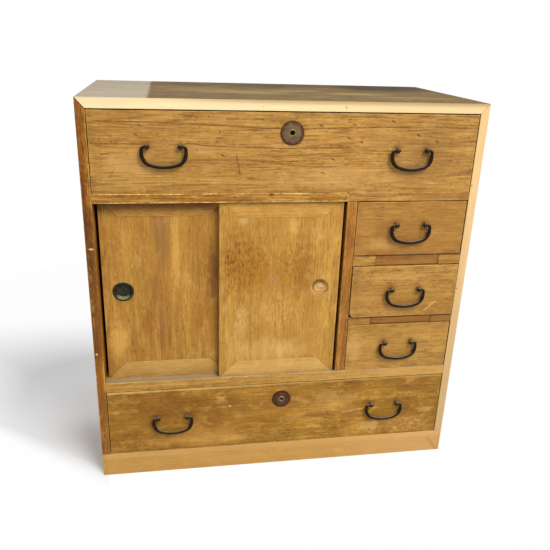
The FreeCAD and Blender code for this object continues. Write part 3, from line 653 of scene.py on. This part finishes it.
def small_rail_marks(coat):
    """A thin dark line runs along the top of the small rails, they are darker at their right end, and the lower one is
    darker still to the right, a painted shade under the middle drawer.
    """
    bench = coat.bench
    across, _, height = coat.axes()
    coat.lay(bench.step(across, 0.20, 0.25), 0.4, 146, 100, 44)
    # the lower rail darkens to the right: painted shade under the middle drawer
    lower = bench.product(bench.step(height, 0.32, 0.30), bench.step(across, 0.10, 0.25, 0.05, 0.6))
    coat.lay(lower, 1.0, 134, 84, 22)
    ragged = coat.ragged_height(120.0, 0.0016)
    for shelf, reach in (("upper_small_shelf", 0.0014), ("lower_small_shelf", 0.0022)):
        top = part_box(shelf)[1].z
        line = bench.product(bench.step(ragged, top - reach, top - reach + 0.0012),
                             bench.step(height, top + 0.004, top + 0.003), bench.step(across, 0.09, 0.13, 0.35, 1.0))
        coat.lay(line, 0.85, 62, 30, 4)


def shelf_dust(coat):
    bench = coat.bench
    paler = bench.step(coat.axes()[0], -0.1, 0.25)
    coat.lay(bench.product(bench.facing_front(), paler), 0.35, 220, 174, 102)
    coat.lay(bench.facing_up(), 0.75, 160, 150, 122)


def base_marks(coat):
    """The base is paler towards its right end, where a slanting dark mark runs down to the corner."""
    across, _, height = coat.axes()
    coat.lay(coat.bench.step(across, 0.02, 0.26), 0.4, 212, 168, 108)
    coat.lay(coat.bench.step(height, 0.031, 0.0345), 0.2, 224, 182, 116)
    coat.scratches((0.279, 0.027, 0.2955, 0.003, 0.005, 0.5, 168, 112, 34))


print("marks for the rails, the shelf and the base ready")


# %% the sides
def left_side_marks(coat):
    """The front edge of the left side: dark and reddish outside, golden from rubbing beside the doors and drawers."""
    bench = coat.bench
    across, _, height = coat.axes()
    drawn_up = bench.vector("MULTIPLY", coat.place, (1.0, 1.0, 0.25))
    shaken = bench.math("ADD", across, bench.product(bench.noise(drawn_up, 90.0, 4.0), 0.008))
    front = bench.facing_front()
    middle = bench.product(bench.step(height, 0.19, 0.24), bench.step(height, 0.49, 0.46))
    coat.lay(bench.product(front, bench.step(shaken, -0.2905, -0.2935)), 0.35, 102, 50, 4)
    coat.lay(bench.product(front, bench.step(shaken, -0.2905, -0.2885)), 0.3, 186, 132, 48)
    coat.lay(bench.product(front, middle), 0.6, 88, 42, 2)
    below = bench.product(front, bench.step(across, -0.2968, -0.2958), bench.step(height, 0.166, 0.162))
    coat.lay(below, 0.75, 124, 80, 20)
    coat.flecks(
        UPRIGHT_FLECKS,
        (-0.296, 0.4, 0.012, 0.16, 0.3, 0.6, 60, 26, 2), (-0.3, 0.33, 0.004, 0.09, 0.6, 0.5, 214, 160, 84),
        (-0.297, 0.55, 0.012, 0.07, 0.5, 0.5, 64, 30, 2), (-0.297, 0.08, 0.01, 0.06, 0.6, 0.4, 196, 148, 74))
    coat.scratches(
        (-0.303, 0.625, -0.2885, 0.61, 0.0018, 0.75, 58, 28, 4), (-0.3026, 0.62, -0.3018, 0.52, 0.001, 0.6, 58, 28, 4),
        (-0.2945, 0.61, -0.29, 0.535, 0.0011, 0.6, 70, 34, 4))
    coat.stains((-0.295, 0.408, 0.005, 0.0022, 0.8, 0.8, 228, 188, 116),
                (-0.299, 0.233, 0.0026, 0.003, 0.8, 0.8, 228, 188, 116))


def right_side_marks(coat):
    lower = coat.bench.step(coat.axes()[2], 0.52, 0.06, 0.15, 0.75)
    coat.lay(coat.bench.product(coat.bench.facing_front(), lower), 1.0, 182, 152, 104)


print("marks for both sides ready")

# %% the top
lengthwise = 0.3
top_stains = [
    (-0.15, 0.11, 0.07, 0.05, 0.5, 0.5, 92, 70, 40), (-0.13, 0.0, 0.08, 0.05, 0.5, 0.45, 170, 144, 96),
    (-0.05, -0.03, 0.075, 0.034, 0.5, 0.6, 182, 156, 96), (0.01, 0.115, 0.15, 0.06, 0.5, 0.6, 84, 64, 34),
    (0.03, 0.01, 0.06, 0.026, 0.5, 0.5, 176, 150, 90), (0.13, -0.03, 0.07, 0.028, 0.5, 0.6, 186, 156, 92),
    (0.21, 0.11, 0.13, 0.09, 0.4, 0.85, 62, 44, 20), (0.2, -0.08, 0.08, 0.028, 0.5, 0.5, 176, 142, 78),
    (0.0, -0.14, 0.28, 0.012, 0.5, 0.45, 116, 92, 40)]


def top_marks(coat):
    """A pale left end on the top, painted as a reflection, old stains on the top, and the front edge, which is pinker
    to the right.
    """
    bench = coat.bench
    across, deep, height = coat.axes()
    front = bench.facing_front()
    coat.lay(bench.product(front, bench.step(across, -0.2, 0.25)), 0.7, 218, 184, 132)
    worn_top = bench.product(front, bench.step(height, 0.6165, 0.6257), bench.step(across, -0.24, -0.02, 0.2, 1.0))
    coat.lay(worn_top, 0.65, 136, 106, 64)
    coat.scratches((0.0775, 0.6185, 0.0795, 0.615, 0.0011, 0.7, 120, 86, 40),
                   (-0.044, 0.617, -0.0425, 0.615, 0.0009, 0.5, 150, 110, 56))
    edge_colour = coat.colour
    laid_flat = bench.node("ShaderNodeCombineXYZ", {}, {0: bench.product(across, lengthwise), 2: deep}).outputs[0]
    for x, y, half_width, half_depth, *rest in top_stains:
        coat.stains((x * lengthwise, y, half_width * lengthwise, half_depth, *rest), Place=laid_flat)
    # the pale left end of the top is a painted reflection
    fibrous = bench.drawn_noise(coat.place, (10.0, 170.0, 1.0), 3.0, 0.6)
    ragged = bench.math("ADD", across, bench.product(bench.math("SUBTRACT", fibrous, 0.5), 0.016))
    reflected_left_end = bench.product(bench.step(ragged, -0.2035, -0.2085), bench.step(fibrous, 0.66, 0.36, 0.72, 1.0))
    coat.lay(reflected_left_end, 0.78, 209, 196, 173)
    coat.colour = bench.mix(bench.facing_up(), edge_colour, coat.colour)


print("top:", len(top_stains), "stains")

# %% [markdown]
# ## The woods of this chest
# The fronts are one golden brown wood with the grain lying level, and the doors the same wood set upright.
# The front edges of the top, of the right side and of the base have been planed and are pale,
# while the left side is still dark and chipped. The top is grey from years of dust and sun.
# Each recipe gives its tones as light, dark, stained and worn.

# %% wooden finishes
golden = dict(tones=((194, 146, 66), (92, 52, 15), (150, 104, 40), (214, 171, 95)))
inner = dict(tones=((206, 176, 130), (164, 128, 80), (184, 148, 100), (216, 190, 146)), threads=0.2, flecks=0.15,
             clouding=0.3, mottling=0.15, wear=0.3, holes=0.3, roughness=0.75)
boards = {
    "top_drawer_wood": dict(
        grain="X", **golden, lines=0.4, streaks=0.4, threads=0.72, flecks=0.6, long_lines=0.5, dashes=0.6,
        marks=top_drawer_marks),
    "bottom_drawer_wood": dict(
        grain="X", tones=((197, 145, 46), (78, 44, 6), (126, 81, 12), (217, 171, 84)), threads=0.42, flecks=0.52,
        mottling=0.65, scuffing=0.5, clouding=0.5, marks=bottom_drawer_marks),
    "upper_drawer_wood": dict(
        grain="X", tones=((180, 131, 56), (96, 55, 16), (140, 93, 33), (206, 160, 84)), flecks=0.2, holes=0.3,
        marks=upper_drawer_marks),
    "middle_drawer_wood": dict(
        grain="X", **golden, lines=0.45, threads=0.62, flecks=0.7, clouding=0.6, mottling=0.55, holes=0.3,
        marks=middle_drawer_marks),
    "lower_drawer_wood": dict(grain="X", **golden, lines=0.25, flecks=0.4, holes=0.3, marks=lower_drawer_marks),
    "left_door_wood": dict(
        grain="Z", tones=((200, 149, 60), (102, 60, 16), (152, 103, 33), (214, 170, 90)), lines=0.4, bands=0.6,
        threads=0.45, flecks=0.45, clouding=0.55, mottling=0.45, scuffing=0.3, marks=left_door_marks),
    "right_door_wood": dict(
        grain="Z", tones=((203, 154, 66), (104, 62, 16), (164, 114, 40), (221, 179, 102)), lines=0.4, bands=0.5,
        threads=0.4, flecks=0.35, clouding=0.45, mottling=0.4, scuffing=0.3, marks=right_door_marks),
    "door_cap_wood": dict(
        grain="X", tones=((204, 155, 70), (108, 66, 20), (166, 116, 42), (221, 180, 104)), flecks=0.4, mottling=0.45,
        scuffing=0.4, wear=0.15, marks=cap_tones),
    "rail_wood": dict(
        grain="X", tones=((202, 152, 70), (90, 48, 12), (154, 104, 38), (222, 178, 98)), lines=0.8, bands=0.65,
        streaks=0.5, threads=0.6, flecks=0.5, wear=0.5, spacing=0.003, marks=small_rail_marks),
    "head_rail_wood": dict(
        grain="X", tones=((210, 154, 58), (76, 38, 6), (144, 88, 20), (236, 190, 104)), lines=0.95, bands=0.85,
        streaks=0.75, threads=0.8, flecks=0.5, wear=0.95, spacing=0.003, marks=head_rail_marks),
    "shelf_wood": dict(
        grain="X", tones=((208, 160, 74), (96, 54, 14), (162, 114, 42), (228, 186, 106)), lines=0.7, bands=0.6,
        streaks=0.4, threads=0.45, wear=0.6, spacing=0.003, marks=shelf_dust),
    "divider_wood": dict(
        grain="Z", tones=((186, 128, 44), (96, 52, 10), (146, 90, 24), (212, 160, 78)), lines=0.95, bands=0.7,
        streaks=0.7, threads=0.8, flecks=0.7, wear=0.5, spacing=0.003),
    "patch_wood": dict(
        grain="X", tones=((194, 140, 58), (74, 40, 10), (134, 86, 32), (70, 36, 8)), lines=0.9, bands=0.8,
        streaks=0.5, threads=0.6, flecks=0.5, scuffing=0.0, wear=0.85, grime_and_shade=0.4, spacing=0.003,
        marks=small_rail_marks),
    "base_wood": dict(
        grain="X", tones=((200, 153, 81), (150, 104, 45), (182, 136, 65), (222, 178, 104)), threads=0.15, flecks=0.12,
        long_lines=0.15, dashes=0.1, clouding=0.35, mottling=0.1, wear=0.3, grime_and_shade=0.15, holes=0.0, marks=base_marks),
    "left_side_wood": dict(
        grain="Z", tones=((206, 138, 34), (62, 28, 0), (140, 78, 4), (222, 162, 68)), lines=0.9, bands=0.8,
        streaks=0.7, threads=0.75, flecks=0.6, dashes=0.9, clouding=0.5, wear=0.9, reach=0.0026, spacing=0.003,
        marks=left_side_marks),
    "right_side_wood": dict(
        grain="Z", tones=((184, 136, 62), (106, 66, 22), (146, 100, 40), (216, 172, 98)), lines=0.5, wear=0.3,
        edge=dict(light=(228, 190, 134), dark=(204, 158, 96), bands=0.35, streaks=0.3), marks=right_side_marks),
    "top_board_wood": dict(
        grain="X", tones=((154, 126, 74), (76, 56, 24), (114, 90, 46), (180, 152, 98)), lines=0.7, threads=0.5,
        flecks=0.4, clouding=0.6, mottling=0.5, scuffing=0.4, wear=0.2, roughness=0.55,
        edge=dict(light=(241, 215, 166), dark=(224, 188, 132), bands=0.25, streaks=0.2), marks=top_marks),
    "inner_wood": dict(grain="Y", **inner),
    "inner_cross_wood": dict(grain="X", **inner),
    "back_wood": dict(
        grain="Z", tones=((170, 136, 92), (118, 84, 48), (140, 104, 62), (188, 152, 106)), clouding=0.5, wear=0.3,
        roughness=0.78),
}
finishes = {name: old_board(name, **recipe) for name, recipe in boards.items()}
print(len(finishes), "wooden finishes")

# %% [markdown]
# ## Iron, brass and bronze
# The bails are forged iron under an old black finish that has worn on the belly where hands pull, and the shine there
# is a painted highlight.
# The lock plates have gone brown with rust, the key tube is tarnished brass, and the pull cup is dark bronze.
# One group gives all of them their clouds of patina, their pits and a hammered surface,
# and each has a paler tone for the sides that look up, where dust and fingers rub it, which also serves as a painted
# highlight.

# %% node group: old metal
bench, given, result = start_group("old metal", {"Place": None}, ["Patina", "Pits", "Hammering"])
bench.put(result["Patina"], bench.step(bench.noise(given["Place"], 160.0, 5.0, 0.65), 0.34, 0.68))
bench.put(result["Pits"], bench.step(bench.noise(given["Place"], 900.0, 2.0, 0.6), 0.58, 0.72))
facets = bench.node("ShaderNodeTexVoronoi", {"feature": "SMOOTH_F1"},
                    {"Vector": given["Place"], "Scale": 210.0, "Smoothness": 0.6})
bench.put(result["Hammering"], facets.outputs["Distance"])
print("old metal:", len(bench.tree.nodes), "nodes")


# %% metal finishes
def plate_rim(coat, drawer):
    """The rim of a lock plate is darker and redder than its middle, and its very edge is darkened by a painted shade.
    """
    bench = coat.bench
    centre, radius = lock_place(drawer)
    offset = bench.vector("MULTIPLY", bench.vector("SUBTRACT", coat.place, centre), (1.0, 0.0, 1.0))
    away = bench.vector("LENGTH", offset)
    shake = bench.math("SUBTRACT", bench.noise(coat.place, 260.0, 4.0, 0.65), 0.5)
    ragged = bench.math("ADD", away, bench.product(shake, 0.008))
    coat.lay(bench.step(ragged, radius * 0.65, radius * 0.95), 0.8, 72, 38, 16)
    # the darkest ring at the very edge is a painted shade
    coat.lay(bench.step(away, radius * 0.92, radius), 0.6, 40, 21, 8)


def old_metal(name, tones, metallic, roughness, patina_roughness, drawer=None):
    """The tones are the bare metal, its patina, its pits and the faces that look up, worn by hands and painted as a
    highlight.
    """
    material, bench, shader = start_material(name)
    shader.inputs["Specular IOR Level"].default_value = 0.08
    bare, patina, pitted, rubbed_and_highlit = (tone(*shades) for shades in tones)
    plain = bench.coordinate("Object")
    surface = bench.group("old metal", {"Place": plain})
    colour = bench.mix(surface["Patina"], bare, patina)
    # the faces that look up take the paler tone: wear, and a painted highlight
    coat = Coat(bench, plain, bench.lay(colour, bench.facing(2, 0.35, 0.85), 0.75, rubbed_and_highlit))
    if drawer:
        plate_rim(coat, drawer)
    bench.put(shader.inputs["Base Color"], bench.mix(surface["Pits"], coat.colour, pitted))
    bench.put(shader.inputs["Metallic"], bench.step(surface["Patina"], 0.0, 1.0, metallic, metallic * 0.45))
    bench.put(shader.inputs["Roughness"], bench.step(surface["Patina"], 0.0, 1.0, roughness, patina_roughness))
    height = bench.math("SUBTRACT", surface["Hammering"], surface["Pits"])
    bump = bench.node("ShaderNodeBump", {}, {"Strength": 0.4, "Distance": 0.0004, "Height": height})
    bench.put(shader.inputs["Normal"], bump.outputs[0])
    return material


# in each row the fourth tone, for the faces that look up, is wear and a painted highlight
metals = {
    "bail_iron": (((40, 29, 18), (24, 17, 10), (14, 10, 6), (146, 118, 80)), 0.05, 0.3, 0.4),
    "post_iron": (((54, 47, 34), (34, 29, 20), (20, 16, 11), (128, 116, 84)), 0.08, 0.32, 0.45),
    "top_lock_iron": (((120, 98, 72), (92, 72, 50), (54, 40, 26), (140, 118, 88)), 0.15, 0.5, 0.65, "top_drawer"),
    "bottom_lock_iron": (((92, 62, 48), (66, 42, 34), (40, 24, 19), (116, 84, 64)), 0.15, 0.5, 0.65, "bottom_drawer"),
    "key_tube_brass": (((136, 120, 76), (96, 84, 50), (54, 43, 25), (184, 168, 114)), 0.3, 0.42, 0.55),
    "lock_case_iron": (((110, 98, 84), (84, 64, 48), (60, 42, 30), (130, 116, 98)), 0.6, 0.45, 0.65),
    "cup_bronze": (((60, 58, 40), (36, 36, 25), (22, 21, 14), (166, 158, 114)), 0.25, 0.34, 0.48),
}
for name, recipe in metals.items():
    finishes[name] = old_metal(name, *recipe)
print(len(finishes), "finishes in all")

# %% [markdown]
# ## Dressing the pieces
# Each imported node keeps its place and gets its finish. Four modifiers soften the wood: the first welds the corners
# that the file keeps apart, the second joins the triangles of each flat face, the third rounds every arris a little,
# as a plane and years of hands do, and the last lets the broad faces set the shading, so they stay flat.
# The board's own size and a number of its own ride along for the finishes to read.

# %% which finish goes on which node
node_finish = {
    "top_panel": "top_board_wood", "left_side_panel": "left_side_wood", "right_side_panel": "right_side_wood",
    "floor_board": "inner_cross_wood", "back_boards": "back_wood", "base_front_rail": "base_wood",
    "base_side_rails": "base_wood", "base_back_rail": "base_wood", "upper_shelf": "rail_wood",
    "door_head_rail": "head_rail_wood", "lower_shelf": "shelf_wood", "centre_divider": "divider_wood",
    "upper_small_shelf": "rail_wood", "lower_small_shelf": "rail_wood", "rail_patches": "patch_wood",
    "left_door_panel": "left_door_wood", "right_door_panel": "right_door_wood", "left_door_end_caps": "door_cap_wood",
    "right_door_end_caps": "door_cap_wood", "left_door_cup": "cup_bronze",
    "top_drawer_lock_plate": "top_lock_iron", "bottom_drawer_lock_plate": "bottom_lock_iron",
}
drawer_wood = {"top_drawer": "top_drawer_wood", "bottom_drawer": "bottom_drawer_wood",
               "upper_small_drawer": "upper_drawer_wood", "middle_small_drawer": "middle_drawer_wood",
               "lower_small_drawer": "lower_drawer_wood"}
for drawer, wood in drawer_wood.items():
    node_finish[drawer + "_front"] = wood
    node_finish[drawer + "_sides"] = "inner_wood"
    node_finish[drawer + "_back"] = "inner_cross_wood"
    node_finish[drawer + "_bottom"] = "inner_cross_wood"
ending_finish = {"bail": "bail_iron", "handle_posts": "post_iron", "key_tube": "key_tube_brass",
                 "lock_case": "lock_case_iron", "lock_bolt": "lock_case_iron"}
for name in nodes:
    for ending, metal in ending_finish.items():
        if name.endswith(ending):
            node_finish[name] = metal
print(len(node_finish), "nodes have a finish, without one:", sorted(set(nodes) - set(node_finish)))

# %% soften and finish each node
for index, (name, node) in enumerate(sorted(nodes.items())):
    low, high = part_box(name)
    node["board_size"] = tuple(high - low)
    node["board_seed"] = (0.37 * index, 0.011 * (index % 7), 0.083 * (index % 11))
    node.data.materials.clear()
    node.data.materials.append(finishes[node_finish[name]])
    if node_finish[name].endswith("wood"):
        weld = node.modifiers.new("weld", "WELD")
        weld.merge_threshold = 0.00002
        joined = node.modifiers.new("joined faces", "DECIMATE")
        joined.decimate_type = "DISSOLVE"
        joined.angle_limit = math.radians(1)
        softened = node.modifiers.new("softened", "BEVEL")
        softened.width = 0.0007
        softened.segments = 2
        softened.limit_method = "ANGLE"
        softened.angle_limit = math.radians(40)
        shading = node.modifiers.new("flat faces", "WEIGHTED_NORMAL")
        shading.mode = "FACE_AREA"
        shading.weight = 100
print("softened", sum(1 for node in nodes.values() if node.modifiers), "wooden nodes")

# %% [markdown]
# ## Dirt in the back
# The boards of the back have shrunk, and joints as thin as card have opened between them. In an old chest such joints
# are packed with dust and soot, so no light comes through. A strip of dirt in each joint does the same here;
# its two faces are uneven, since nobody planed them.

# %% dirt between the back boards
back_low, back_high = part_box("back_boards")
back_board_count = 4
joint_width = 0.0004
dirt_depth = 0.003
unevenness = 0.0008
board_pitch = (back_high.x - back_low.x + joint_width) / back_board_count
packing = bmesh.new()
for index in range(1, back_board_count):
    middle = (back_low + back_high) / 2
    middle.x = back_low.x + board_pitch * index - joint_width / 2
    strip = Matrix.LocRotScale(middle, None, (joint_width, dirt_depth, back_high.z - back_low.z))
    bmesh.ops.create_cube(packing, size=1.0, matrix=strip)
upright = [edge for edge in packing.edges if abs(edge.verts[0].co.z - edge.verts[1].co.z) > dirt_depth]
bmesh.ops.subdivide_edges(packing, edges=upright, cuts=40, use_grid_fill=True)
for corner in packing.verts:
    corner.co.y += unevenness * math.sin(210.0 * corner.co.z + 40.0 * corner.co.x) * math.cos(77.0 * corner.co.z)
dirt_mesh = bpy.data.meshes.new("back_joint_dirt")
packing.to_mesh(dirt_mesh)
packing.free()
dirt = bpy.data.objects.new("back_joint_dirt", dirt_mesh)
bpy.context.scene.collection.objects.link(dirt)
dirt["board_size"] = nodes["back_boards"]["board_size"]
dirt["board_seed"] = nodes["back_boards"]["board_seed"]
dirt_mesh.materials.append(finishes["back_wood"])
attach(dirt, "carcass")
print("dirt in", back_board_count - 1, "joints,", len(dirt_mesh.polygons), "faces")

# %% [markdown]
# ## Floor and light
# The photograph has a white ground with a soft shadow to the left of the chest. A white floor catches the shadow
# on that side, and elsewhere it turns to plain white for the camera only, so no horizon shows.
# One broad lamp stands high on the right, near the camera, and the world fills in the rest.

# %% white floor
floor_reach = 14.0
corners = [(x * floor_reach, y * floor_reach, 0) for x, y in ((-1, -1), (1, -1), (1, 1), (-1, 1))]
floor_mesh = bpy.data.meshes.new("floor")
floor_mesh.from_pydata(corners, [], [(0, 1, 2, 3)])
floor = bpy.data.objects.new("floor", floor_mesh)
bpy.context.scene.collection.objects.link(floor)
floor_material, bench, paint = start_material("white_floor")
floor_mesh.materials.append(floor_material)
paint.inputs["Base Color"].default_value = (0.88, 0.9, 0.915, 1.0)
paint.inputs["Roughness"].default_value = 0.9
print("floor", floor_reach * 2, "m across")

# %% where the floor is plain white
corner_offset = 0.306
shadow_slope = 0.82
beside_share = 0.3
cover_span = 0.91
least_cover = 0.06
floor_place = bench.coordinate("Object")
across, deep, _ = bench.parts(floor_place)
slant = bench.math("ADD", deep, bench.product(bench.math("ADD", across, corner_offset), shadow_slope))
beside = bench.product(bench.step(across, -0.56, -0.36), bench.step(deep, -0.05, 0.06))
blanked = bench.step(across, -0.306, -0.290)
for limit in (bench.step(across, -0.42, -0.75), bench.step(slant, -0.122, -0.178), bench.step(deep, 0.13, 0.52),
              bench.product(beside, beside_share)):
    blanked = bench.math("MAXIMUM", blanked, limit)
blanked = bench.math("ADD", bench.product(blanked, cover_span), least_cover)
far = bench.step(bench.vector("LENGTH", floor_place), 0.45, 1.1)
ray = bench.node("ShaderNodeLightPath").outputs
seen = bench.math("MAXIMUM", ray["Is Camera Ray"], ray["Is Glossy Ray"])
seen = bench.math("MAXIMUM", seen, ray["Is Transmission Ray"])
cover = bench.product(bench.math("MAXIMUM", blanked, far), seen)
blank = bench.node("ShaderNodeEmission", {}, {"Color": (1.0, 1.0, 1.0, 1.0), "Strength": 1.0}).outputs[0]
surface = bench.node("ShaderNodeMixShader", {}, {0: cover, 1: paint.outputs[0], 2: blank})
bench.put(floor_material.node_tree.nodes["Material Output"].inputs["Surface"], surface.outputs[0])
print("floor material:", len(bench.tree.nodes), "nodes")

# %% lamp and world
lamp_place = Vector((0.7, -1.75, 2.1))
lamp_aim = Vector((0.0, 0.0, 0.3))
lamp_light = bpy.data.lights.new("key_lamp", "AREA")
lamp_light.shape = "DISK"
lamp_light.size = 1.2
lamp_light.energy = 56.0
lamp = bpy.data.objects.new("key_lamp", lamp_light)
lamp.location = lamp_place
lamp.rotation_mode = "QUATERNION"
lamp.rotation_quaternion = (lamp_aim - lamp_place).to_track_quat("-Z", "Y")
bpy.context.scene.collection.objects.link(lamp)
world = bpy.data.worlds.new("studio")
bpy.context.scene.world = world
world.use_nodes = True
bench = Bench(world.node_tree)
ray = bench.node("ShaderNodeLightPath").outputs
seen = bench.math("MAXIMUM", ray["Is Camera Ray"], ray["Is Transmission Ray"])
backdrop = world.node_tree.nodes["Background"]
bench.put(backdrop.inputs["Strength"], bench.step(seen, 0.0, 1.0, 0.48, 1.0))
backdrop.inputs["Color"].default_value = (1.0, 1.0, 1.0, 1.0)
print("lit by one lamp and the world")
